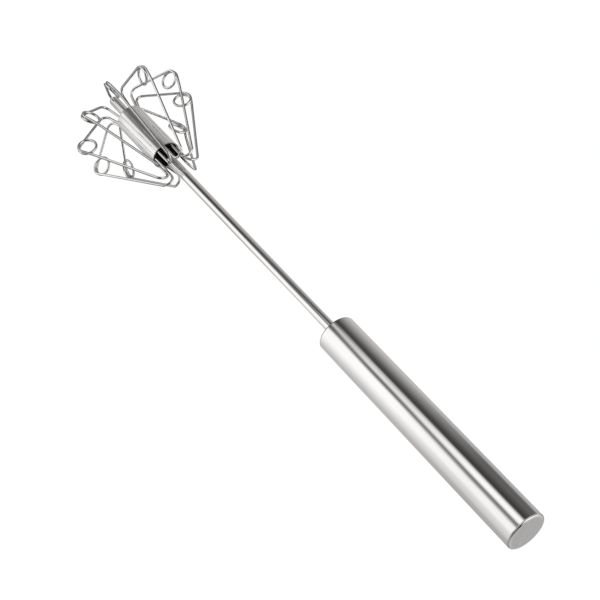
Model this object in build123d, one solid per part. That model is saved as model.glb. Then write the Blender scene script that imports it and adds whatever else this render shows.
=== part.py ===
from build123d import *
import os
from math import sin, cos, tan, pi, radians, atan2, asin, acos, hypot

# Push-down rotary whisk: a plain steel handle slides down over a thin shaft and
# a twisted strip inside turns the shaft and its head of ten looped wires.
# Frame: Z is the long axis, Z = 0 is the tip of the shaft, the handle is on top.
# All sizes in millimetres. Names ending in _z0 and _z1 are lower and upper heights.

# ---- handle tube ----
handle_r = 10.0
handle_wall = 0.8
bore_r = handle_r - handle_wall
handle_len = 136.4
handle_z1 = 350.0
handle_z0 = handle_z1 - handle_len
lip_in = 0.8                        # inward lip at the lower end
lip_bore = bore_r - lip_in
lip_round = 0.79 * handle_wall      # outer rounding at the lower end
top_round = 0.18                    # outer rounding at the upper end

# ---- end cap: disc on the tube, plug inside it, slotted boss underneath ----
disc_r = handle_r - 0.1
disc_t = 0.8
disc_round = 0.7
cap_z1 = handle_z1 + disc_t         # flat top of the whole whisk
plug_z0 = cap_z1 - 4.4
boss_r = 5.5
boss_z0 = 330.0

# ---- twisted strip and its cross pin ----
lead = 50.0                         # height of one full turn of the strip
strip_w = 3.6
strip_t = 1.0
strip_z0 = 208.0
tang_z0 = 334.0                     # the flat tang starts where the twist ends
tang_z1 = 343.5
tang_gap = 0.04                     # cap slot over tang, both sides together
relief_r = 2.4                      # round recess in the boss around the top of the twist
pin_r = 0.8
pin_z = 338.6
pin_len = 2 * boss_r - 0.3
pin_hole_len = 4 * boss_r           # runs right through the boss

# ---- shaft ----
shaft_r = 2.7
shaft_bore = shaft_r - 0.5
tip_h = 1.4                         # part of the tip below the tube
tip_plug_h = 6.0
tip_round = 1.1

# ---- bush, washers, nut and spring ----
bush_z0 = handle_z0 + handle_wall   # the wide part of the bush sits on the lip
bush_z1 = 226.0
bush_neck_z0 = handle_z0 + 0.1
bush_neck_r = lip_bore - 0.02
bush_chamfer = 0.5
slide_gap = 0.06                    # radial gap in the bores of the bush and the spring seat
stop_r = 8.9
stop_gap = 0.35
nut_z0 = bush_z1 + 1.2              # the stop washer lies between bush and nut
seat_z0 = nut_z0 + 3.0              # top of the nut flange
seat_z1 = seat_z0 + 1.0
nut_z1 = 243.2
nut_flange_r = 9.12
nut_hub_r = 5.5
slot_gap = 0.07                     # per side, between strip and nut slot
slot_over = 0.5                     # slot cutter past each end of the slot
shaft_z1 = nut_z0 + 10.0            # the shaft ends in a socket in the nut
washer_r = 9.0                      # upper washer and spring seat
upper_washer_z0 = plug_z0 - 0.8
upper_washer_gap = 0.05
spring_r = 7.2                      # to the middle of the spring wire
spring_wire_r = 0.5
spring_turns = 21

# ---- head ----
sleeve_r = 8.1
sleeve_bore = 7.5
sleeve_z0 = 19.3
sleeve_z1 = 57.3
sleeve_round = 0.15
hub_z0 = 26.0
hub_z1 = 46.0

# ---- whisk wires ----
n_wires = 10
wire_r = 0.7
leg_ring = sleeve_bore - wire_r     # radius of the circle the wire legs stand on
first_az = -5.0                     # azimuth of the first loop, degrees
wire_azimuths = [first_az - 360 / n_wires * k for k in range(n_wires)]
low_leg_az = 3.0                    # lower leg, degrees from the loop's own azimuth
up_leg_az = 18.0                    # upper leg, likewise
coil_axis_r = 30.2                  # loop centre from the whisk axis
coil_z = 24.6
coil_r = 4.8
coil_pitch = 1.5
coil_mid_y = -1.9                   # sideways place of the middle of the loop
low_lead = 4.0                      # straight run into the loop
up_lead = 6.0                       # straight run out of the loop
# Corners of the wire as (radius, height)
low_corner = (10.2, 6.6)
up_outer_corner = (12.0, 70.0)
up_inner_corner = (6.55, 71.0)
up_outer_y = -0.6                   # sideways place of the upper outer corner
low_leg_bend_z = sleeve_z0 - 0.85
up_leg_bend_z = sleeve_z1 - 1.0
# Bend radii in order along the wire
low_bends = [6.0, 3.6, 40.0]        # leg, lower corner, before the loop
up_bends = [60.0, 3.6, 3.4, 8.0]    # after the loop, outer corner, inner corner, leg


# ---- helpers ----
def rod(radius, z0, z1):
    """Solid cylinder on the Z axis."""
    return Pos(0, 0, (z0 + z1) / 2) * Cylinder(radius, z1 - z0)


def collar(radius, bore, z0, z1):
    """Cylinder on the Z axis with a through bore."""
    height = z1 - z0
    return Pos(0, 0, (z0 + z1) / 2) * (Cylinder(radius, height) - Cylinder(bore, height))


def bar(width, thickness, z0, z1):
    """Flat bar on the Z axis, its width along X."""
    return Pos(0, 0, (z0 + z1) / 2) * Box(width, thickness, z1 - z0)


def twisted_bar(width, thickness, z0, z1):
    """Bar twisted with the strip's lead, its width along X at tang_z0."""
    start_angle = 360.0 * (z0 - tang_z0) / lead
    turn = 360.0 * (z1 - z0) / lead
    section = Plane.XY.offset(z0) * (Rot(0, 0, start_angle) * Rectangle(width, thickness))
    solid = Solid.extrude_linear_with_rotation(
        section.face().outer_wire(), (0, 0, z0), (0, 0, z1 - z0), turn)
    return Part(solid.wrapped)


def cross_pin(length):
    """Pin along Y through the axis, at the height of the tang's hole."""
    return Pos(0, 0, pin_z) * Rot(90, 0, 0) * Cylinder(pin_r, length)


def circles(shape, radius=None):
    """Circular edges from the lowest up, only those of one radius if it is given."""
    edges = shape.edges().filter_by(GeomType.CIRCLE)
    if radius is not None:
        edges = edges.filter_by(lambda edge: abs(edge.radius - radius) < 1e-6)
    return edges.sort_by(Axis.Z)


def polar(radius, azimuth, z):
    """Point from radius, azimuth in degrees and height."""
    return (radius * cos(radians(azimuth)), radius * sin(radians(azimuth)), z)


def rounded_path(points, radii):
    """Straight edges through 3-D points with arcs at the inner points, one radius each."""
    points = [Vector(*point) for point in points]
    edges = []
    start = points[0]
    for before, corner, after, radius in zip(points, points[1:], points[2:], radii):
        back = (before - corner).normalized()
        ahead = (after - corner).normalized()
        half_angle = acos(back.dot(ahead)) / 2
        setback = radius / tan(half_angle)
        arc_start = corner + back * setback
        arc_end = corner + ahead * setback
        bisector = (back + ahead).normalized()
        arc_mid = corner + bisector * (radius / sin(half_angle) - radius)
        edges.append(Edge.make_line(start, arc_start))
        edges.append(Edge.make_three_point_arc(arc_start, arc_mid, arc_end))
        start = arc_end
    edges.append(Edge.make_line(start, points[-1]))
    return edges


# ---- handle pieces ----
def make_handle_tube():
    # (radius, height) outline of the wall and the lip
    outline = [
        (handle_r, handle_z0), (handle_r, handle_z1), (bore_r, handle_z1),
        (bore_r, handle_z0 + handle_wall), (lip_bore, handle_z0 + handle_wall),
        (lip_bore, handle_z0)]
    face = make_face(Polyline(*[(r, 0, z) for r, z in outline], close=True))
    tube = revolve(face, Axis.Z, 360)
    tube = fillet(circles(tube, handle_r)[0:1], lip_round)
    top_edge = circles(tube, handle_r).filter_by(lambda edge: edge.center().Z > handle_z1 - 1)
    return fillet(top_edge, top_round)


def make_end_cap():
    cap = rod(disc_r, handle_z1, cap_z1)
    cap = fillet(circles(cap)[-1], disc_round)
    cap += rod(bore_r, plug_z0, handle_z1)
    cap += rod(boss_r, boss_z0, plug_z0)
    cap -= bar(strip_w + tang_gap, strip_t + tang_gap, boss_z0 - 1.0, tang_z1)
    cap -= cross_pin(pin_hole_len)
    # Recess under the slot so the twist can start below the tang
    cap -= rod(relief_r, boss_z0, tang_z0)
    return cap


def make_drive_strip():
    strip = twisted_bar(strip_w, strip_t, strip_z0, tang_z0)
    strip += bar(strip_w, strip_t, tang_z0, tang_z1)
    strip -= cross_pin(pin_hole_len)
    return strip


def make_front_bush():
    """Bush at the lower end of the handle, with a neck inside the lip."""
    bush_bore = shaft_r + slide_gap
    bush = collar(bore_r, bush_bore, bush_z0, bush_z1)
    bush += collar(bush_neck_r, bush_bore, bush_neck_z0, bush_z0)
    return chamfer(circles(bush, bush_bore)[0], bush_chamfer)


def make_return_spring():
    """Coil between the spring seat and the upper washer."""
    z0 = seat_z1 + spring_wire_r
    height = upper_washer_z0 - spring_wire_r - z0
    helix = Edge.make_helix(height / spring_turns, height, spring_r)
    helix = helix.moved(Location((0, 0, z0)))
    section = Plane(origin=helix @ 0, z_dir=helix % 0) * Circle(spring_wire_r)
    return sweep(section, path=Wire([helix]), is_frenet=True)


def make_drive_nut():
    """Flanged nut: a socket for the shaft below, a twisted slot for the strip above."""
    nut = rod(nut_flange_r, nut_z0, seat_z0)
    nut += rod(nut_hub_r, seat_z0, nut_z1)
    nut -= rod(shaft_r, nut_z0, shaft_z1)
    nut -= twisted_bar(strip_w + 2 * slot_gap, strip_t + 2 * slot_gap,
                       shaft_z1 - slot_over, nut_z1 + slot_over)
    return nut


# ---- shaft and head pieces ----
def make_shaft_tip():
    tip = rod(shaft_r, 0, tip_h)
    tip = fillet(circles(tip)[0], tip_round)
    tip += rod(shaft_bore, tip_h, tip_h + tip_plug_h)
    return tip


def make_head_sleeve():
    sleeve = collar(sleeve_r, sleeve_bore, sleeve_z0, sleeve_z1)
    return fillet(circles(sleeve, sleeve_r), sleeve_round)


def make_head_hub():
    """Hub on the shaft with a groove in its rim for every wire leg."""
    hub = collar(leg_ring, shaft_r, hub_z0, hub_z1)
    for azimuth in wire_azimuths:
        for leg_az in (low_leg_az, up_leg_az):
            place = polar(leg_ring, azimuth + leg_az, (hub_z0 + hub_z1) / 2)
            hub -= Pos(*place) * Cylinder(wire_r, hub_z1 - hub_z0 + 1)
    return hub


def tangent_angle(corner, side):
    """Angle round the loop where a line from the corner touches it.

    Side is -1 for the tangent clockwise of the loop centre, 1 for the other one.
    """
    across = coil_axis_r - corner[0]
    up = coil_z - corner[1]
    return atan2(up, across) + side * (asin(coil_r / hypot(across, up)) + pi / 2)


def make_whisk_wire():
    """One wire with its loop towards +X: lower leg, side loop, long slope, upper leg."""
    start_angle = tangent_angle(low_corner, -1)
    end_angle = tangent_angle(up_outer_corner, 1)
    # The loop makes one full turn more than the angle between its tangent points
    turn = end_angle - start_angle + 2 * pi
    rise = coil_pitch * turn / (2 * pi)
    coil_plane = Plane(
        origin=(coil_axis_r, coil_mid_y + rise / 2, coil_z),
        x_dir=(cos(start_angle), 0, sin(start_angle)), z_dir=(0, -1, 0))
    coil = Edge.make_helix(coil_pitch, rise, coil_r).moved(Location(coil_plane))
    coil_start = coil @ 0
    coil_end = coil @ 1

    lower = rounded_path([
        polar(leg_ring, low_leg_az, hub_z1),
        polar(leg_ring, low_leg_az, low_leg_bend_z),
        polar(low_corner[0], low_leg_az, low_corner[1]),
        coil_start - (coil % 0) * low_lead,
        coil_start], low_bends)
    upper = rounded_path([
        coil_end,
        coil_end + (coil % 1) * up_lead,
        (up_outer_corner[0], up_outer_y, up_outer_corner[1]),
        polar(up_inner_corner[0], up_leg_az, up_inner_corner[1]),
        polar(leg_ring, up_leg_az, up_leg_bend_z),
        polar(leg_ring, up_leg_az, hub_z0)], up_bends)
    path = Wire(lower + [coil] + upper)
    section = Plane(origin=path @ 0, z_dir=path % 0) * Circle(wire_r)
    return sweep(section, path=path, is_frenet=False, transition=Transition.RIGHT)


# ---- all pieces, one file each ----
pieces = {
    "handle_tube": make_handle_tube(),
    "end_cap": make_end_cap(),
    "strip_pin": cross_pin(pin_len),
    "drive_strip": make_drive_strip(),
    "upper_washer": collar(washer_r, boss_r + upper_washer_gap, upper_washer_z0, plug_z0),
    "return_spring": make_return_spring(),
    "spring_seat": collar(washer_r, nut_hub_r + slide_gap, seat_z0, seat_z1),
    "stop_washer": collar(stop_r, shaft_r + stop_gap, bush_z1, nut_z0),
    "front_bush": make_front_bush(),
    "drive_nut": make_drive_nut(),
    "shaft_tube": collar(shaft_r, shaft_bore, tip_h, shaft_z1),
    "shaft_tip": make_shaft_tip(),
    "head_hub": make_head_hub(),
    "head_sleeve": make_head_sleeve(),
}
whisk_wire = make_whisk_wire()
for number, azimuth in enumerate(wire_azimuths, start=1):
    pieces[f"whisk_wire_{number:02d}"] = Rot(0, 0, azimuth) * whisk_wire

os.makedirs("parts", exist_ok=True)
for name, shape in pieces.items():
    solids = shape.solids()
    export_step(solids[0] if len(solids) == 1 else shape, f"parts/{name}.step")
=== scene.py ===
"""Hand whisk with a sliding handle, ten looped wires and a return spring.

It stands upright on +Z with its axis on x = y = 0: the shaft tip is at z = 0, the wires are
round the lower shaft and the handle tube with its end cap is at the top. Sizes are in mm
unless noted; meshes are scaled to metres as they are made.
"""

import math

import bpy
import numpy as np
from mathutils import Matrix, Vector


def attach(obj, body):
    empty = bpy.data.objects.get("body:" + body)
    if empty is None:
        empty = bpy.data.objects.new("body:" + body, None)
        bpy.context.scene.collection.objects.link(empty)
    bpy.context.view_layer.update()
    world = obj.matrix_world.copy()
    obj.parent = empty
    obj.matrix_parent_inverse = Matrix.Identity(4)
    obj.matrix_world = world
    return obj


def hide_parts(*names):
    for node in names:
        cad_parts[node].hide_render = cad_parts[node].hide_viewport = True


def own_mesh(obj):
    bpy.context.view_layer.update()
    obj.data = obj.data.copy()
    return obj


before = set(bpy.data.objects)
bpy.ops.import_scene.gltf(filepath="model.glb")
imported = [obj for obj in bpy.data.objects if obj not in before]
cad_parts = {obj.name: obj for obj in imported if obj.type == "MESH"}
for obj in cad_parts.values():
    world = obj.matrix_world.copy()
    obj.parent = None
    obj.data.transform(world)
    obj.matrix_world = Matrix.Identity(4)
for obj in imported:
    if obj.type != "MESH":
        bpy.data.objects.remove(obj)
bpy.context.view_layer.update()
MM = 0.001
FULL_TURN = 2 * math.pi

# ---------------------------------------------------------------- dimensions, mm
HANDLE_R = 10.0
HANDLE_WALL = 0.8
HANDLE_BORE = HANDLE_R - HANDLE_WALL
LIP_IN = 0.8                     # the lower lip reaches this far in from the bore
HANDLE_Z0 = 213.6
HANDLE_Z1 = 350.0
HANDLE_TOP_ROUND = 0.18

CAP_R = 9.9
CAP_TOP_Z = HANDLE_Z1 + 0.8
CAP_DEPTH = 4.4                  # face of the disc to the underside of the plug
PLUG_Z = CAP_TOP_Z - CAP_DEPTH
CAP_RIM_R, CAP_RIM_Z = 1.3, 0.7  # elliptical rounding of the rim: radial, axial
CAP_RIM_STEPS = 16
CAP_CHAMFER = 0.2
BOSS_R = 5.5
BOSS_Z = 330.0
BOSS_SLOT_X, BOSS_SLOT_Y, BOSS_SLOT_TOP = 3.64, 1.04, 343.5
CROSS_HOLE_R, CROSS_HOLE_Z, CROSS_HOLE_REACH = 0.8, 338.6, 11
BOSS_MOUTH_R, BOSS_MOUTH_TOP = 2.4, 334.0
CUT_OVERRUN = 1.0                # cuts start this far below the boss

SHAFT_R = 2.7
SHAFT_BORE = SHAFT_R - 0.5
SHAFT_TOP = 237.2
TIP_HEAD = 1.4                   # full-width part of the tip, below the tube
TIP_PLUG = 6.0                   # part of the tip inside the tube

SLEEVE_R, SLEEVE_BORE = 8.1, 7.5
SLEEVE_Z0, SLEEVE_Z1 = 19.3, 57.3
SLEEVE_LOW_ROUND = 0.40
HUB_Z0, HUB_Z1 = 26.0, 46.0

WIRE_COUNT = 10
WIRE_R = 0.7
LEG_RING_R = SLEEVE_BORE - WIRE_R
FIRST_WIRE_DEG = -5.0
LOW_LEG_DEG, UP_LEG_DEG = 3.0, 18.0   # turn of each leg from the plane of its own loop
COIL_X, COIL_Z, COIL_R = 30.2, 24.6, 4.8
COIL_PITCH = 1.5
COIL_MID_Y = -1.9
LOW_BEND = (10.2, 6.6)           # bend corners: distance from the axis, z
UP_OUTER_BEND = (12.0, 70.0)
UP_INNER_BEND = (6.55, 71.0)
UP_OUTER_BEND_Y = -0.6

SPRING_R = 7.2
SPRING_WIRE_R = 0.5
SPRING_TURNS = 21
SPRING_STEPS_PER_TURN = 36
SPRING_BASE_Z = 231.2            # lowest point of the spring
SPRING_CAP_GAP = 0.8             # top of the spring to the plug
SPRING_Z0 = SPRING_BASE_Z + SPRING_WIRE_R
SPRING_Z1 = PLUG_Z - SPRING_CAP_GAP - SPRING_WIRE_R


# ---------------------------------------------------------------- outlines and meshes
def round_corners(corners, steps=None):
    """Path through corners (x, z, rounding) or (x, y, z, rounding); 0 keeps a corner sharp.

    Without steps, each arc gets a point at least every 7 degrees."""
    points = [np.array(corner[:-1], float) for corner in corners]
    path = []
    for i, corner in enumerate(points):
        radius = corners[i][-1]
        if radius <= 0:
            path.append(corner)
            continue
        before, after = points[i - 1], points[(i + 1) % len(points)]
        to_before = (before - corner) / np.linalg.norm(before - corner)
        to_after = (after - corner) / np.linalg.norm(after - corner)
        angle = math.acos(max(-1, min(1, float(to_before @ to_after))))
        trim = radius / math.tan(angle / 2)
        bisector = (to_before + to_after) / np.linalg.norm(to_before + to_after)
        centre = corner + bisector * (radius / math.sin(angle / 2))
        start = (corner + to_before * trim - centre) / radius
        end = (corner + to_after * trim - centre) / radius
        sweep = math.acos(max(-1, min(1, float(start @ end))))
        side = (end - math.cos(sweep) * start) / math.sin(sweep)
        count = steps or max(3, int(math.ceil(sweep / math.radians(7))))
        for k in range(count + 1):
            turn = sweep * k / count
            path.append(centre + radius * (math.cos(turn) * start + math.sin(turn) * side))
    return path


def shade(mesh, sharp_deg):
    mesh.shade_smooth()
    mesh.set_sharp_from_angle(angle=math.radians(sharp_deg))


def new_object(name, verts, faces, sharp_deg=None):
    """Linked mesh object from vertices in mm; flat shaded unless sharp_deg is given."""
    mesh = bpy.data.meshes.new(name)
    mesh.from_pydata([tuple(float(c) * MM for c in v) for v in verts], [], faces)
    mesh.validate()
    mesh.update()
    ob = bpy.data.objects.new(name, mesh)
    bpy.context.scene.collection.objects.link(ob)
    if sharp_deg is not None:
        shade(mesh, sharp_deg)
    return ob


def hold_edges(profile, closed, inset=0.03, shortest=0.25):
    """Add a point just inside both ends of every long side, so smooth walls look truly flat."""
    held = []
    for i, point in enumerate(profile):
        start = np.array(point, float)
        held.append(tuple(start))
        if i == len(profile) - 1 and not closed:
            break
        end = np.array(profile[(i + 1) % len(profile)], float)
        length = np.linalg.norm(end - start)
        if length > shortest:
            for share in (inset / length, 1 - inset / length):
                held.append(tuple(start + (end - start) * share))
    return held


LATHE_SHARP_DEG = 35.0


def lathe(name, profile, segments, closed=True):
    """Solid of revolution about Z from (radius, z) points; radius 0 makes a pole."""
    verts, rings = [], []
    for radius, z in hold_edges(profile, closed):
        first = len(verts)
        if radius < 1e-9:
            verts.append((0.0, 0.0, z))
        else:
            for k in range(segments):
                angle = FULL_TURN * k / segments
                verts.append((radius * math.cos(angle), radius * math.sin(angle), z))
        rings.append(range(first, len(verts)))
    faces = []
    following = rings[1:] + (rings[:1] if closed else [])
    for ring, after in zip(rings, following):
        for k in range(segments):
            k2 = (k + 1) % segments
            if len(ring) == 1:
                faces.append((ring[0], after[k2], after[k]))
            elif len(after) == 1:
                faces.append((ring[k], ring[k2], after[0]))
            else:
                faces.append((ring[k], ring[k2], after[k2], after[k]))
    return new_object(name, verts, faces, LATHE_SHARP_DEG)


def sweep_tube(name, path, radius, sides):
    """Round bar along a path with parallel-transported rings and closed ends."""
    points = np.array(path, float)
    moved = np.linalg.norm(points[1:] - points[:-1], axis=1) > 1e-6
    points = points[np.concatenate(([True], moved))]
    steps = points[1:] - points[:-1]
    steps /= np.linalg.norm(steps, axis=1)[:, None]
    tangents = np.zeros_like(points)
    tangents[1:-1] = steps[1:] + steps[:-1]
    tangents[0], tangents[-1] = steps[0], steps[-1]
    tangents /= np.linalg.norm(tangents, axis=1)[:, None]
    # the Y axis seeds the first ring, unless the path starts nearly along it
    normal = np.array([0.0, 1.0, 0.0] if abs(tangents[0][1]) < 0.9 else [1.0, 0.0, 0.0])
    verts, faces = [], []
    for point, tangent in zip(points, tangents):
        normal = normal - tangent * (normal @ tangent)
        normal /= np.linalg.norm(normal)
        binormal = np.cross(tangent, normal)
        for k in range(sides):
            angle = FULL_TURN * k / sides
            verts.append(point + radius * (math.cos(angle) * normal + math.sin(angle) * binormal))
    last = (len(points) - 1) * sides
    for ring in range(0, last, sides):
        for k in range(sides):
            k2 = (k + 1) % sides
            faces.append((ring + k, ring + k2, ring + sides + k2, ring + sides + k))
    faces.append(tuple(reversed(range(sides))))
    faces.append(tuple(range(last, last + sides)))
    return new_object(name, verts, faces, 50.0)


def box(name, size_x, size_y, z0, z1):
    """Box centred on the Z axis."""
    quarters = ((-1, -1), (1, -1), (1, 1), (-1, 1))
    verts = [(sx * size_x / 2, sy * size_y / 2, z) for z in (z0, z1) for sx, sy in quarters]
    faces = [(3, 2, 1, 0), (4, 5, 6, 7), (0, 1, 5, 4), (1, 2, 6, 5), (2, 3, 7, 6), (3, 0, 4, 7)]
    return new_object(name, verts, faces)


def rod(name, radius, start, end, segments=48):
    """Closed round bar between two points."""
    start, end = Vector(start), Vector(end)
    axis = (end - start).normalized()
    side = axis.orthogonal().normalized()
    other = axis.cross(side)
    verts = []
    for centre in (start, end):
        for k in range(segments):
            angle = FULL_TURN * k / segments
            spoke = math.cos(angle) * side + math.sin(angle) * other
            verts.append(tuple(centre + radius * spoke))
    faces = [tuple(reversed(range(segments))), tuple(range(segments, 2 * segments))]
    for k in range(segments):
        k2 = (k + 1) % segments
        faces.append((k, k2, segments + k2, segments + k))
    return new_object(name, verts, faces)


def subtract(ob, cutters):
    """Cut the cutters out of ob, bake the result into its mesh and delete the cutters."""
    for cutter in cutters:
        cut = ob.modifiers.new(cutter.name, "BOOLEAN")
        cut.operation = "DIFFERENCE"
        cut.solver = "EXACT"
        cut.object = cutter
    bpy.context.view_layer.update()
    evaluated = ob.evaluated_get(bpy.context.evaluated_depsgraph_get())
    mesh = bpy.data.meshes.new_from_object(evaluated)
    ob.modifiers.clear()
    ob.data = mesh
    for cutter in cutters:
        cutter_mesh = cutter.data
        bpy.data.objects.remove(cutter)
        bpy.data.meshes.remove(cutter_mesh)
    shade(mesh, LATHE_SHARP_DEG)


# ---------------------------------------------------------------- shader nodes
class NodeKit:
    """Lays out nodes in the emptied node tree of a material or world."""

    def __init__(self, owner):
        owner.use_nodes = True
        self.tree = owner.node_tree
        self.tree.nodes.clear()

    def new(self, kind, **settings):
        node = self.tree.nodes.new(kind)
        for key, value in settings.items():
            setattr(node, key, value)
        return node

    def link(self, source, target):
        self.tree.links.new(source, target)

    def math(self, operation, first, second=None, clamp=False):
        node = self.new("ShaderNodeMath", operation=operation, use_clamp=clamp)
        for socket, value in zip(node.inputs, (first, second)):
            if isinstance(value, bpy.types.NodeSocket):
                self.link(value, socket)
            elif value is not None:
                socket.default_value = value
        return node.outputs[0]

    def noise(self, vector, scale, detail, roughness=0.5):
        node = self.new("ShaderNodeTexNoise")
        node.inputs["Scale"].default_value = scale
        node.inputs["Detail"].default_value = detail
        node.inputs["Roughness"].default_value = roughness
        self.link(vector, node.inputs["Vector"])
        return node.outputs["Fac"]

    def remap(self, value, source, target):
        """Map the source range (low, high) onto the target range."""
        node = self.new("ShaderNodeMapRange")
        self.link(value, node.inputs[0])
        for i, limit in enumerate((*source, *target), start=1):
            node.inputs[i].default_value = limit
        return node.outputs[0]

    def stretch(self, vector, scale):
        node = self.new("ShaderNodeMapping")
        node.inputs["Scale"].default_value = scale
        self.link(vector, node.inputs["Vector"])
        return node.outputs["Vector"]

    def tint(self, colour, brightness, target):
        """Feed colour times brightness to target."""
        node = self.new("ShaderNodeVectorMath", operation="SCALE")
        node.inputs[0].default_value = colour
        self.link(brightness, node.inputs["Scale"])
        self.link(node.outputs[0], target)

    def bump(self, height, strength, distance, target):
        node = self.new("ShaderNodeBump")
        node.inputs["Strength"].default_value = strength
        node.inputs["Distance"].default_value = distance
        self.link(height, node.inputs["Height"])
        self.link(node.outputs[0], target)


# ---------------------------------------------------------------- materials
def start_surface(name):
    """New material: itself, its node kit, the Principled inputs and object coordinates."""
    material = bpy.data.materials.new(name)
    kit = NodeKit(material)
    output = kit.new("ShaderNodeOutputMaterial")
    principled = kit.new("ShaderNodeBsdfPrincipled")
    kit.link(principled.outputs[0], output.inputs[0])
    coords = kit.new("ShaderNodeTexCoord").outputs["Object"]
    return material, kit, principled.inputs, coords


def streak_coords(kit, coords, direction, scale):
    """Stretch coordinates into lines: axial (along Z), turned (rings about Z), linear (along X)."""
    if direction == "axial":
        return kit.stretch(coords, scale=(scale, scale, scale * 0.012))
    if direction == "linear":
        return kit.stretch(coords, scale=(scale * 0.02, scale, scale))
    x, y, z = kit_separate(kit, coords)
    squares = kit.math("ADD", kit.math("MULTIPLY", x, x), kit.math("MULTIPLY", y, y))
    radius = kit.math("SQRT", squares)
    combined = kit.new("ShaderNodeCombineXYZ")
    kit.link(radius, combined.inputs[0])
    kit.link(z, combined.inputs[2])
    return kit.stretch(combined.outputs[0], scale=(scale, 1.0, scale))


def kit_separate(kit, vector):
    node = kit.new("ShaderNodeSeparateXYZ")
    kit.link(vector, node.inputs[0])
    return tuple(node.outputs)


def steel(name, colour, rough, direction, streak, streak_scale, bump, rough_var, smudge,
          painted_edge_shade=None):
    """Metal with fine lines along one direction, faint smudges and grain.

    painted_edge_shade: (middle, edge) brightness of a thin bar; painted shade that darkens its
    colour where it turns away."""
    material, kit, inputs, coords = start_surface(name)
    inputs["Metallic"].default_value = 1.0
    line_coords = streak_coords(kit, coords, direction, streak_scale)
    lines = kit.noise(line_coords, scale=1.0, detail=3.0, roughness=0.6)
    smear = kit.noise(coords, scale=95.0, detail=3.0, roughness=0.55)
    grain = kit.noise(coords, scale=5200.0, detail=2.0)
    line_range = (0.25, 0.75)

    line_tone = kit.remap(lines, source=line_range, target=(-streak, streak))
    smear_tone = kit.remap(smear, source=(0.3, 0.7), target=(-smudge, smudge))
    brightness = kit.math("ADD", kit.math("ADD", line_tone, smear_tone), 1.0)
    # painted shade: the colour darkens towards the silhouette of the bar
    if painted_edge_shade:
        weight = kit.new("ShaderNodeLayerWeight")
        weight.inputs["Blend"].default_value = 0.5
        edge_shade_factor = kit.remap(weight.outputs["Facing"], source=(0.34, 0.80), target=painted_edge_shade)
        brightness = kit.math("MULTIPLY", brightness, edge_shade_factor)
    kit.tint(colour, brightness, inputs["Base Color"])

    line_rough = kit.remap(lines, source=line_range,
                           target=(rough - rough_var * 0.5, rough + rough_var * 0.5))
    smear_rough = kit.remap(smear, source=(0.35, 0.75), target=(0.0, rough_var))
    kit.link(kit.math("ADD", line_rough, smear_rough, clamp=True), inputs["Roughness"])

    line_height = kit.math("MULTIPLY", lines, 0.8)
    grain_height = kit.math("MULTIPLY", grain, 0.2)
    height = kit.math("ADD", line_height, grain_height)
    kit.bump(height, strength=bump, distance=0.00002, target=inputs["Normal"])
    return material


def plastic(name, colour, rough, grain_scale, bump):
    """Moulded plastic or rubber with a fine grain."""
    material, kit, inputs, coords = start_surface(name)
    mottle = kit.noise(coords, scale=160.0, detail=3.0)
    grain = kit.noise(coords, scale=grain_scale, detail=2.0)
    brightness = kit.remap(mottle, source=(0.3, 0.7), target=(0.95, 1.03))
    kit.tint(colour, brightness, inputs["Base Color"])
    roughness = kit.remap(grain, source=(0.3, 0.7), target=(rough - 0.05, rough + 0.08))
    kit.link(roughness, inputs["Roughness"])
    kit.bump(grain, strength=bump, distance=0.00003, target=inputs["Normal"])
    return material


WARM = (0.906, 0.893, 0.884)
# name, colour, roughness, line direction, line contrast, line scale, bump strength,
# roughness variation, smudge contrast, optional outline (painted edge shade)
STEELS = [
    ("polished_tube", WARM, 0.034, "axial", 0.012, 700.0, 0.010, 0.015, 0.010),
    ("polished_shaft", WARM, 0.070, "axial", 0.03, 1500.0, 0.02, 0.03, 0.012),
    ("polished_sleeve", WARM, 0.055, "axial", 0.11, 1500.0, 0.05, 0.04, 0.012),
    ("bright_wire", (0.92, 0.908, 0.895), 0.055, "axial", 0.03, 1100.0, 0.03, 0.04, 0.02,
     (1.0, 0.15)),
    ("satin_disc", (0.80, 0.793, 0.79), 0.32, "linear", 0.10, 1300.0, 0.14, 0.06, 0.03),
    ("polished_rim", WARM, 0.06, "turned", 0.02, 1500.0, 0.02, 0.03, 0.01),
    ("cut_edge", (0.36, 0.352, 0.345), 0.22, "turned", 0.08, 1500.0, 0.06, 0.08, 0.03),
    # rolled_edge_painted_shade: rougher steel whose dark colour is painted shade on the lower edges
    # of the handle and sleeve
    ("rolled_edge_painted_shade", (0.17, 0.166, 0.163), 0.12, "turned", 0.06, 1500.0, 0.05, 0.06, 0.02),
    # dull_bore_painted_shade: rough steel whose dark colour is painted shade inside the sleeve
    ("dull_bore_painted_shade", (0.20, 0.195, 0.19), 0.46, "turned", 0.10, 900.0, 0.10, 0.10, 0.05),
    # turned_hub_painted_shade: turned steel whose dark colour is painted shade on the hub inside
    # the sleeve
    ("turned_hub_painted_shade", (0.22, 0.215, 0.21), 0.40, "turned", 0.10, 1400.0, 0.15, 0.08, 0.05),
    ("spring_wire", (0.58, 0.57, 0.56), 0.24, "axial", 0.06, 1200.0, 0.08, 0.08, 0.03),
    ("rolled_strip", (0.66, 0.65, 0.64), 0.22, "axial", 0.05, 1300.0, 0.08, 0.06, 0.03),
    ("stamped_steel", (0.66, 0.655, 0.65), 0.28, "turned", 0.05, 1200.0, 0.08, 0.08, 0.03),
]
# name, colour, roughness, grain scale, bump strength
PLASTICS = [
    ("white_nylon", (0.78, 0.77, 0.72), 0.48, 2500.0, 0.15),
    ("black_rubber", (0.025, 0.025, 0.026), 0.65, 1800.0, 0.3),
]
materials = {row[0]: steel(*row) for row in STEELS}
materials.update({row[0]: plastic(*row) for row in PLASTICS})


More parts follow.
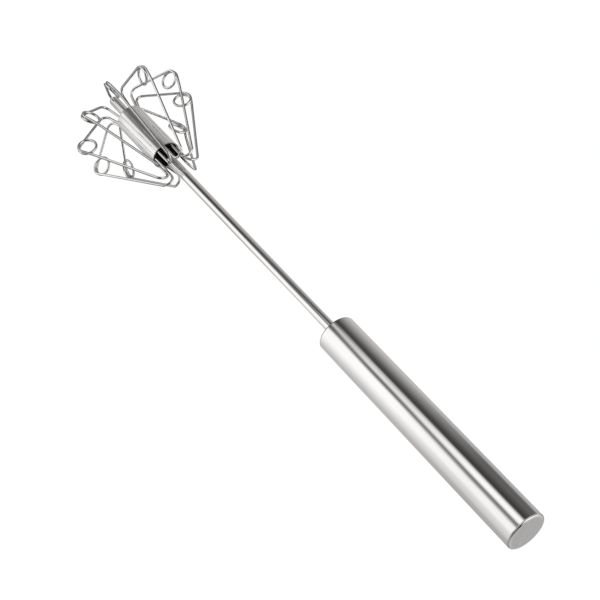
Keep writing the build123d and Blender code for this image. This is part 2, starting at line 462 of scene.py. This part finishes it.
def register(ob, material_names, cad_node, rides, face_slot=None):
    """face_slot picks a face's material slot from its centre's radius and z in mm."""
    ob.data.materials.clear()
    for name in material_names:
        ob.data.materials.append(materials[name])
    if face_slot:
        for face in ob.data.polygons:
            centre = face.center
            radius = math.hypot(centre.x, centre.y)
            face.material_index = face_slot(radius / MM, centre.z / MM)
    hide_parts(cad_node)
    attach(ob, rides)


# ---------------------------------------------------------------- handle
def build_handle():
    lip_r = HANDLE_BORE - LIP_IN
    lip_top = HANDLE_Z0 + HANDLE_WALL
    corners = [  # radius, z, rounding
        (HANDLE_R, HANDLE_Z0, 0.79 * HANDLE_WALL),
        (HANDLE_R, HANDLE_Z1, HANDLE_TOP_ROUND),
        (HANDLE_BORE, HANDLE_Z1, 0.06),
        (HANDLE_BORE, lip_top, 0.1),
        (lip_r, lip_top, 0.05),
        (lip_r, HANDLE_Z0, 0.12),
    ]
    handle = lathe("handle_tube_body", round_corners(corners, steps=10), segments=320)
    # the rolled lower edge is rougher than the wall; its dark colour is painted shade along that
    # edge
    register(handle, ("polished_tube", "rolled_edge_painted_shade"), "handle_tube", "handle",
             lambda radius, z: int(z < HANDLE_Z0 + 0.62))


def build_end_cap():
    """Round-edged disc over a plug and a slotted boss."""
    profile = [  # radius, z
        (0.0, BOSS_Z),
        (BOSS_R - CAP_CHAMFER, BOSS_Z),
        (BOSS_R, BOSS_Z + CAP_CHAMFER),
        (BOSS_R, PLUG_Z),
        (HANDLE_BORE - CAP_CHAMFER, PLUG_Z),
        (HANDLE_BORE, PLUG_Z + CAP_CHAMFER),
        (HANDLE_BORE, HANDLE_Z1),
        (CAP_R, HANDLE_Z1),
    ]
    for i in range(CAP_RIM_STEPS + 1):
        angle = math.pi / 2 * i / CAP_RIM_STEPS
        profile.append((CAP_R - CAP_RIM_R * (1 - math.cos(angle)),
                        CAP_TOP_Z - CAP_RIM_Z * (1 - math.sin(angle))))
    profile.append((0.0, CAP_TOP_Z))
    cap = lathe("end_cap_disc", profile, segments=320, closed=False)
    cut_z = BOSS_Z - CUT_OVERRUN
    subtract(cap, [
        box("slot_cut", BOSS_SLOT_X, BOSS_SLOT_Y, cut_z, BOSS_SLOT_TOP),
        rod("pin_cut", CROSS_HOLE_R, (0, -CROSS_HOLE_REACH, CROSS_HOLE_Z),
            (0, CROSS_HOLE_REACH, CROSS_HOLE_Z)),
        rod("relief_cut", BOSS_MOUTH_R, (0, 0, cut_z), (0, 0, BOSS_MOUTH_TOP)),
    ])
    # the rounded rim of the disc is polished
    register(cap, ("satin_disc", "polished_rim"), "end_cap", "handle",
             lambda radius, z: int(z > HANDLE_Z1 - 0.01 and radius > CAP_R - CAP_RIM_R + 0.01))


# ---------------------------------------------------------------- shaft
def build_shaft():
    corners = [  # radius, z, rounding
        (SHAFT_R, TIP_HEAD, 0.03),
        (SHAFT_R, SHAFT_TOP, 0.08),
        (SHAFT_BORE, SHAFT_TOP, 0.05),
        (SHAFT_BORE, TIP_HEAD, 0.03),
    ]
    shaft = lathe("shaft_tube_body", round_corners(corners, steps=4), segments=128)
    register(shaft, ("polished_shaft",), "shaft_tube", "rotor")


def build_shaft_tip():
    corners = [  # radius, z, rounding
        (0.0, 0.0, 0),
        (SHAFT_R, 0.0, 1.1),
        (SHAFT_R, TIP_HEAD, 0.04),
        (SHAFT_BORE, TIP_HEAD, 0),
        (SHAFT_BORE, TIP_HEAD + TIP_PLUG, 0.2),
        (0.0, TIP_HEAD + TIP_PLUG, 0),
    ]
    tip = lathe("shaft_tip_plug", round_corners(corners, steps=10), segments=128, closed=False)
    register(tip, ("polished_shaft",), "shaft_tip", "rotor")


# ---------------------------------------------------------------- head sleeve
def sleeve_face_slot(radius, z):
    """Polished wall 0, bore darkened with painted shade 1, cut upper edge 2, turned-in lower edge
    darkened with painted shade 3.
    """
    if radius < SLEEVE_BORE + 0.01:
        return 1
    if z < SLEEVE_Z0 + SLEEVE_LOW_ROUND + 0.01:
        return 3
    return 2 if radius < SLEEVE_R - 0.04 else 0


def build_sleeve():
    corners = [  # radius, z, rounding
        (SLEEVE_R, SLEEVE_Z0, SLEEVE_LOW_ROUND),
        (SLEEVE_R, SLEEVE_Z1, 0.15),
        (SLEEVE_BORE, SLEEVE_Z1, 0.10),
        (SLEEVE_BORE, SLEEVE_Z0, 0.10),
    ]
    sleeve = lathe("head_sleeve_body", round_corners(corners, steps=6), segments=256)
    register(sleeve, ("polished_sleeve", "dull_bore_painted_shade", "cut_edge", "rolled_edge_painted_shade"),
             "head_sleeve", "rotor", sleeve_face_slot)


# ---------------------------------------------------------------- looped wires
def touch_angle(bend, side):
    """Angle round the coil where the straight from a bend (x, z) touches it, on one side."""
    x, z = bend
    distance = math.hypot(COIL_X - x, COIL_Z - z)
    heading = math.atan2(COIL_Z - z, COIL_X - x) + side * math.asin(COIL_R / distance)
    reach = math.sqrt(distance * distance - COIL_R ** 2)
    return math.atan2(z + reach * math.sin(heading) - COIL_Z,
                      x + reach * math.cos(heading) - COIL_X)


def coil_tangent(angle):
    tangent = np.array([-COIL_R * math.sin(angle), -COIL_PITCH / FULL_TURN,
                        COIL_R * math.cos(angle)])
    return tangent / np.linalg.norm(tangent)


def loop_path():
    """Centre line of the wire whose coil lies over +X: lower leg, coil, upper leg."""
    start = touch_angle(LOW_BEND, -1)
    turn = (touch_angle(UP_OUTER_BEND, 1) - start) % FULL_TURN + FULL_TURN
    travel = COIL_PITCH * turn / FULL_TURN
    first_y = COIL_MID_Y + travel / 2
    steps = int(math.ceil(turn / math.radians(6)))
    coil = []
    for k in range(steps + 1):
        angle = start + turn * k / steps
        coil.append(np.array([COIL_X + COIL_R * math.cos(angle), first_y - travel * k / steps,
                              COIL_Z + COIL_R * math.sin(angle)]))

    def on_leg(radius, degrees, z):
        angle = math.radians(degrees)
        return radius * math.cos(angle), radius * math.sin(angle), z

    # each corner is a point and its bend radius
    low_leg = round_corners([
        (*on_leg(LEG_RING_R, LOW_LEG_DEG, HUB_Z1), 0),
        (*on_leg(LEG_RING_R, LOW_LEG_DEG, SLEEVE_Z0 - 0.85), 6.0),
        (*on_leg(LOW_BEND[0], LOW_LEG_DEG, LOW_BEND[1]), 3.6),
        (*(coil[0] - coil_tangent(start) * 4.0), 40.0),
        (*coil[0], 0),
    ])
    up_leg = round_corners([
        (*coil[-1], 0),
        (*(coil[-1] + coil_tangent(start + turn) * 6.0), 60.0),
        (UP_OUTER_BEND[0], UP_OUTER_BEND_Y, UP_OUTER_BEND[1], 3.6),
        (*on_leg(UP_INNER_BEND[0], UP_LEG_DEG, UP_INNER_BEND[1]), 3.4),
        (*on_leg(LEG_RING_R, UP_LEG_DEG, SLEEVE_Z1 - 1.0), 8.0),
        (*on_leg(LEG_RING_R, UP_LEG_DEG, HUB_Z0), 0),
    ])
    return np.array(low_leg + coil + up_leg)


def build_wires():
    path = loop_path()
    for k in range(WIRE_COUNT):
        angle = math.radians(FIRST_WIRE_DEG - 360 / WIRE_COUNT * k)
        cosine, sine = math.cos(angle), math.sin(angle)
        turn = np.array([[cosine, -sine, 0], [sine, cosine, 0], [0, 0, 1]])
        wire = sweep_tube(f"wire_loop_{k + 1:02d}", path @ turn.T, WIRE_R, sides=24)
        register(wire, ("bright_wire",), f"whisk_wire_{k + 1:02d}", "rotor")


# ---------------------------------------------------------------- return spring
def build_spring():
    """Coil of the return spring, from its lowest point up to just under the plug of the end cap."""
    steps = SPRING_TURNS * SPRING_STEPS_PER_TURN
    path = []
    for i in range(steps + 1):
        angle = FULL_TURN * SPRING_TURNS * i / steps
        path.append((SPRING_R * math.cos(angle), SPRING_R * math.sin(angle),
                     SPRING_Z0 + (SPRING_Z1 - SPRING_Z0) * i / steps))
    spring = sweep_tube("return_spring_coil", path, SPRING_WIRE_R, sides=14)
    register(spring, ("spring_wire",), "return_spring", "handle")
    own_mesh(spring)


# ---------------------------------------------------------------- CAD pieces kept as they are
CAD_MATERIALS = {
    "strip_pin": "rolled_strip",
    "drive_strip": "rolled_strip",
    "upper_washer": "stamped_steel",
    "spring_seat": "stamped_steel",
    "stop_washer": "black_rubber",
    "front_bush": "white_nylon",
    "drive_nut": "white_nylon",
    # the hub's dark colour is painted shade inside the sleeve
    "head_hub": "turned_hub_painted_shade",
}


def colour_cad_pieces():
    for node, material in CAD_MATERIALS.items():
        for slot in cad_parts[node].material_slots:
            slot.link = "OBJECT"
            slot.material = materials[material]


# ---------------------------------------------------------------- floor
BACKDROP_LIGHT = 1.02            # just over white, for the floor and the background
FLOOR_HALF, FLOOR_Z = 4, -0.0004  # metres


def build_floor():
    """Plain white floor, see-through from below and absent from reflections and shadows."""
    mesh = bpy.data.meshes.new("floor")
    quarters = ((-1, -1), (1, -1), (1, 1), (-1, 1))
    verts = [(sx * FLOOR_HALF, sy * FLOOR_HALF, FLOOR_Z) for sx, sy in quarters]
    mesh.from_pydata(verts, [], [(0, 1, 2, 3)])
    floor = bpy.data.objects.new("floor", mesh)
    bpy.context.scene.collection.objects.link(floor)
    material = bpy.data.materials.new("pale_floor")
    kit = NodeKit(material)
    output = kit.new("ShaderNodeOutputMaterial")
    glow = kit.new("ShaderNodeEmission")
    glow.inputs["Color"].default_value = (1, 1, 1, 1)
    glow.inputs["Strength"].default_value = BACKDROP_LIGHT
    clear = kit.new("ShaderNodeBsdfTransparent")
    side = kit.new("ShaderNodeMixShader")
    kit.link(kit.new("ShaderNodeNewGeometry").outputs["Backfacing"], side.inputs[0])
    kit.link(glow.outputs[0], side.inputs[1])
    kit.link(clear.outputs[0], side.inputs[2])
    kit.link(side.outputs[0], output.inputs[0])
    mesh.materials.append(material)
    floor.visible_glossy = False
    floor.visible_diffuse = False
    floor.visible_shadow = False


# ---------------------------------------------------------------- studio mirrored by the steel
CAMERA_SIDE_DEG = -146.46        # azimuth of the camera seen from the object
REFLECTION_LIGHT = 1.0 / 0.90

# softboxes and dark flags in rings round the object:
# degrees from the camera side, display tone 0..255
RINGS = {
    "low": [
        (-180, 166), (-164, 178), (-142, 170), (-126, 172), (-112, 104), (-98, 92), (-82, 94),
        (-47, 58), (-40, 62), (-34, 140), (-28, 222), (-19, 252), (-7, 246), (-1, 204), (4, 136),
        (9, 118), (14, 138), (21, 200), (28, 242), (50, 246), (74, 214), (90, 207), (116, 174),
        (146, 168), (160, 160), (180, 152)],
    "mid": [
        (-180, 176), (-160, 184), (-146, 184), (-128, 186), (-98, 154), (-72, 110), (-58, 78),
        (-45, 64), (-39, 76), (-32, 168), (-27, 196), (-14, 228), (-6, 182), (0, 112), (5, 108),
        (10, 156), (16, 224), (22, 254), (54, 252), (72, 234), (100, 203), (128, 180), (142, 181),
        (156, 199), (180, 222)],
    "front": [
        (-180, 172), (-162, 184), (-146, 187), (-128, 186), (-98, 158), (-70, 112), (-58, 76),
        (-48, 62), (-42, 82), (-35, 148), (-27, 168), (-20, 202), (-13, 156), (-3, 102), (3, 118),
        (10, 216), (17, 250), (58, 252), (78, 234), (100, 210), (128, 182), (140, 187), (154, 216),
        (168, 236), (180, 240)],
    "lip": [
        (-180, 172), (-162, 184), (-146, 187), (-128, 186), (-98, 158), (-70, 104), (-58, 72),
        (-48, 62), (-40, 70), (-33, 96), (-27, 168), (-22, 210), (-16, 176), (-10, 110), (-3, 84),
        (4, 110), (10, 200), (17, 248), (58, 252), (78, 236), (100, 210), (128, 182), (140, 187),
        (154, 216), (168, 232), (180, 230)],
    "shaft": [
        (-180, 206), (-150, 206), (-120, 182), (-98, 162), (-60, 112), (-44, 66), (-34, 76),
        (-16, 100), (-4, 102), (8, 146), (20, 212), (34, 250), (62, 252), (82, 240), (97, 192),
        (110, 188), (126, 226), (142, 240), (180, 236)],
    "stem": [
        (-180, 204), (-150, 200), (-120, 178), (-98, 168), (-74, 166), (-56, 130), (-40, 84),
        (-24, 58), (-10, 64), (2, 104), (12, 176), (22, 232), (34, 254), (58, 248), (78, 238),
        (98, 187), (118, 169), (134, 176), (156, 198), (180, 218)],
    "head": [
        (-180, 214), (-150, 206), (-132, 180), (-120, 170), (-108, 184), (-92, 186), (-76, 164),
        (-60, 160), (-48, 142), (-41, 116), (-34, 96), (-20, 100), (-4, 112), (8, 104), (13, 140),
        (19, 206), (27, 242), (48, 230), (60, 252), (80, 242), (96, 206), (116, 206), (142, 178),
        (164, 168), (180, 160)],
    "tip": [
        (-180, 176), (-150, 150), (-128, 140), (-110, 160), (-92, 176), (-76, 150), (-60, 130),
        (-48, 118), (-36, 96), (-20, 104), (-6, 120), (6, 160), (17, 236), (28, 254), (42, 246),
        (54, 186), (66, 152), (84, 168), (104, 182), (122, 150), (146, 150), (180, 176)],
    "top": [
        (-180, 182), (-150, 192), (-128, 238), (-60, 254), (-44, 250), (-34, 150), (-25, 34),
        (-6, 14), (26, 18), (52, 66), (86, 126), (126, 160), (150, 176), (180, 182)],
    "zenith": [
        (-180, 22), (-170, 30), (-160, 130), (-146, 240), (-60, 254), (-44, 250), (-34, 150),
        (-25, 30), (-6, 12), (40, 14), (72, 50), (104, 116), (132, 150), (152, 140), (168, 50),
        (180, 22)],
    "level": [
        (-180, 160), (-152, 112), (-126, 152), (-112, 156), (-98, 118), (-86, 88), (-62, 74),
        (-40, 74), (-24, 112), (-10, 204), (0, 238), (33, 240), (42, 150), (50, 84), (66, 78),
        (80, 112), (94, 156), (110, 120), (138, 92), (160, 140), (180, 160)],
    "floor": [
        (-180, 190), (-120, 222), (-84, 204), (-56, 112), (-38, 112), (-20, 190), (8, 214),
        (44, 226), (66, 160), (92, 88), (130, 72), (158, 120), (180, 184)],
}
# each ring is laid over those before it, starting from "low":
# ring, z of the view direction where it begins to show and where it covers fully
RING_FADES = [
    ("mid", -0.42, -0.49),
    ("front", -0.51, -0.54),
    ("lip", -0.534, -0.546),
    ("shaft", -0.550, -0.560),
    ("stem", -0.57, -0.62),
    ("head", -0.655, -0.685),
    ("tip", -0.7015, -0.7035),
    ("floor", -0.74, -0.86),
    ("level", -0.33, -0.22),
    ("top", 0.20, 0.28),
    ("zenith", 0.74, 0.82),
]


def linear_light(tone):
    """Linear light for a display tone 0..1."""
    return ((tone + 0.055) / 1.055) ** 2.4 if tone > 0.04045 else tone / 12.92


def ring_ramp(kit, azimuth, stops):
    ramp = kit.new("ShaderNodeValToRGB")
    ramp.color_ramp.interpolation = "LINEAR"
    elements = ramp.color_ramp.elements
    while len(elements) > 1:
        elements.remove(elements[-1])
    for i, (degrees, tone) in enumerate(stops):
        position = (degrees + 180) / 360.0
        element = elements[0] if i == 0 else elements.new(position)
        element.position = position
        light = linear_light(tone / 255.0)
        warmth = (1 - tone / 255.0) ** 2   # the dark flags are a touch warm
        element.color = (light * (1 + 0.062 * warmth), light, light * (1 - 0.068 * warmth), 1)
    kit.link(azimuth, ramp.inputs[0])
    return ramp.outputs[0]


def build_world():
    """Reflections see the ringed studio, the camera sees plain white."""
    world = bpy.data.worlds.new("studio")
    bpy.context.scene.world = world
    kit = NodeKit(world)
    output = kit.new("ShaderNodeOutputWorld")
    x, y, z = kit_separate(kit, kit.new("ShaderNodeTexCoord").outputs["Generated"])
    # azimuth as a share of a turn, with the camera side at 0.5
    azimuth = kit.math("ARCTAN2", y, x)
    azimuth = kit.math("SUBTRACT", azimuth, math.radians(CAMERA_SIDE_DEG))
    azimuth = kit.math("DIVIDE", azimuth, FULL_TURN)
    azimuth = kit.math("FRACT", kit.math("ADD", azimuth, 1.5))
    ramps = {name: ring_ramp(kit, azimuth, stops) for name, stops in RINGS.items()}
    colour = ramps["low"]
    for name, begin, full in RING_FADES:
        share = kit.remap(z, source=(begin, full), target=(0.0, 1.0))
        blend = kit.new("ShaderNodeMix", data_type="RGBA")
        kit.link(share, blend.inputs[0])
        kit.link(colour, blend.inputs[6])
        kit.link(ramps[name], blend.inputs[7])
        colour = blend.outputs[2]
    studio = kit.new("ShaderNodeBackground")
    kit.link(colour, studio.inputs["Color"])
    studio.inputs["Strength"].default_value = REFLECTION_LIGHT
    plain = kit.new("ShaderNodeBackground")
    plain.inputs["Color"].default_value = (1, 1, 1, 1)
    plain.inputs["Strength"].default_value = BACKDROP_LIGHT
    ray = kit.new("ShaderNodeLightPath")
    choice = kit.new("ShaderNodeMixShader")
    kit.link(ray.outputs["Is Camera Ray"], choice.inputs[0])
    kit.link(studio.outputs[0], choice.inputs[1])
    kit.link(plain.outputs[0], choice.inputs[2])
    kit.link(choice.outputs[0], output.inputs[0])


# ---------------------------------------------------------------- light and camera
KEY_PLACE, KEY_TARGET = (-0.6, -0.9, 1.5), (0, 0, 0.2)   # metres


def add_key_light():
    light = bpy.data.lights.new("soft_key", "AREA")
    light.shape = "DISK"
    light.size = 1.4
    light.energy = 6.0
    key = bpy.data.objects.new("soft_key", light)
    key.location = KEY_PLACE
    key.rotation_mode = "QUATERNION"
    key.rotation_quaternion = (Vector(KEY_TARGET) - key.location).to_track_quat("-Z", "Y")
    key.visible_glossy = False
    bpy.context.scene.collection.objects.link(key)


CAMERA_PLACE = (-480.458, -318.433, 581.650)
CAMERA_AXES = (
    (-0.0719615, 0.8197218, 0.5682233),     # right
    (-0.7221258, 0.3501588, -0.5965930),    # up
    (-0.6880087, -0.4532604, 0.5667443),    # back
)


def add_camera():
    lens = bpy.data.cameras.new("camera")
    lens.sensor_fit = "HORIZONTAL"
    lens.sensor_width = 36.0
    lens.lens = 86.598
    lens.clip_start = 0.01
    lens.clip_end = 20.0
    camera = bpy.data.objects.new("camera", lens)
    bpy.context.scene.collection.objects.link(camera)
    turn = Matrix(CAMERA_AXES).transposed().to_4x4()
    camera.matrix_world = Matrix.Translation(Vector(CAMERA_PLACE) * MM) @ turn
    bpy.context.scene.camera = camera


build_handle()
build_end_cap()
build_shaft()
build_shaft_tip()
build_sleeve()
build_wires()
build_spring()
colour_cad_pieces()
build_floor()
build_world()
add_key_light()
bpy.context.scene.view_settings.view_transform = "Standard"
bpy.context.scene.view_settings.look = "None"
add_camera()
